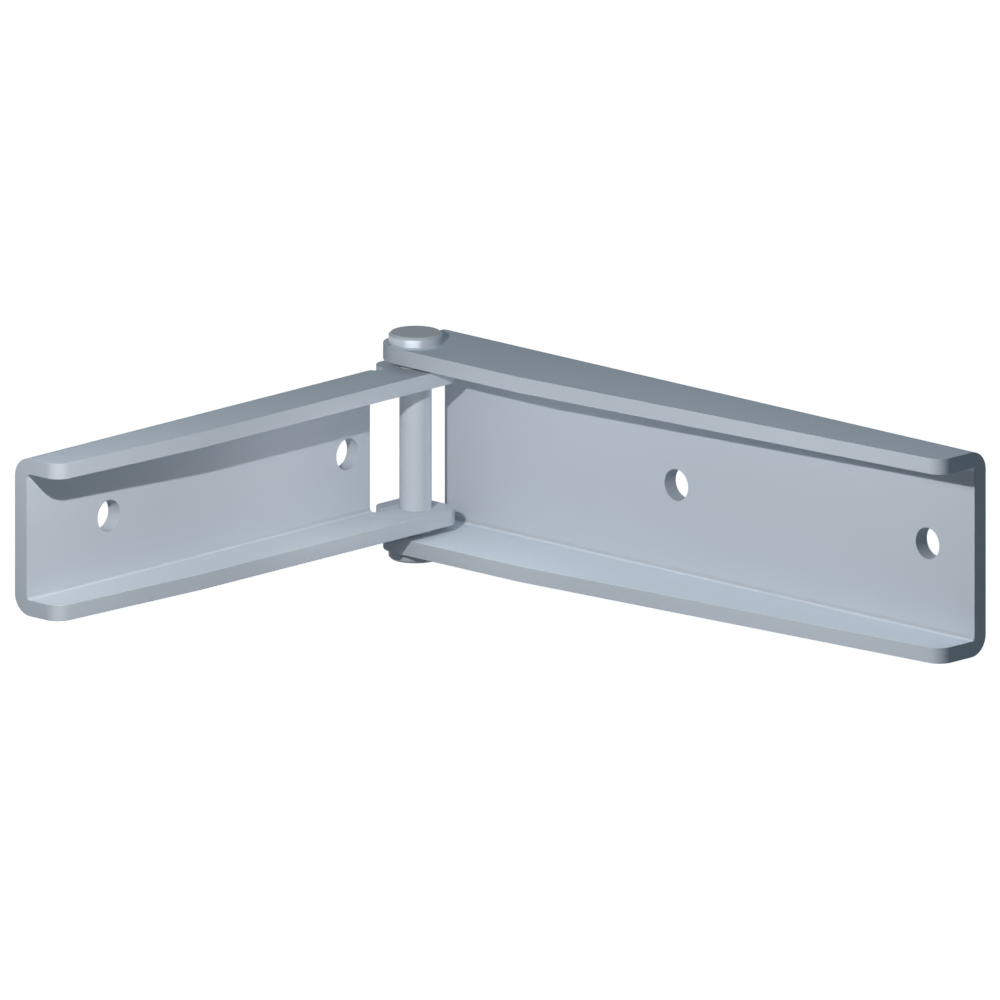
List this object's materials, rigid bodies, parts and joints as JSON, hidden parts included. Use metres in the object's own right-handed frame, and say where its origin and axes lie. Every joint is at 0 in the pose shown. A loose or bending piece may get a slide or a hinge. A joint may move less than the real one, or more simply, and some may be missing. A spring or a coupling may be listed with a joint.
{
  "type": "hinge",
  "caption": "Folding sheet-metal hinge: a narrow U-channel leaf turns on a headed pin and swings into a wider, tapered U-channel leaf.",
  "frame": {"origin": "midway between the outer leaf's two screw holes, on the back face of its web", "axes": "+Y out of the back of the outer leaf's web, +X along that leaf away from the pin, +Z along the pin; drawn with the leaves at a right angle"},
  "size_m": [0.139, 0.114, 0.043],
  "materials": {
    "leaf_steel": "satin blue-grey zinc coat on folded sheet",
    "pin_steel": "satin blue-grey zinc coat, turned heads"
  },
  "bodies": {
    "outer_side": {"outer_leaf": "leaf_steel", "hinge_pin": "pin_steel"},
    "inner_side": {"inner_leaf": "leaf_steel"}
  },
  "joints": [
    {"name": "leaf_swing", "type": "hinge", "parent": "outer_side", "child": "inner_side", "pos_m": [-0.088, -0.014, 0], "axis": [0, 0, 1], "range_deg": [-125, 93]}
  ]
}
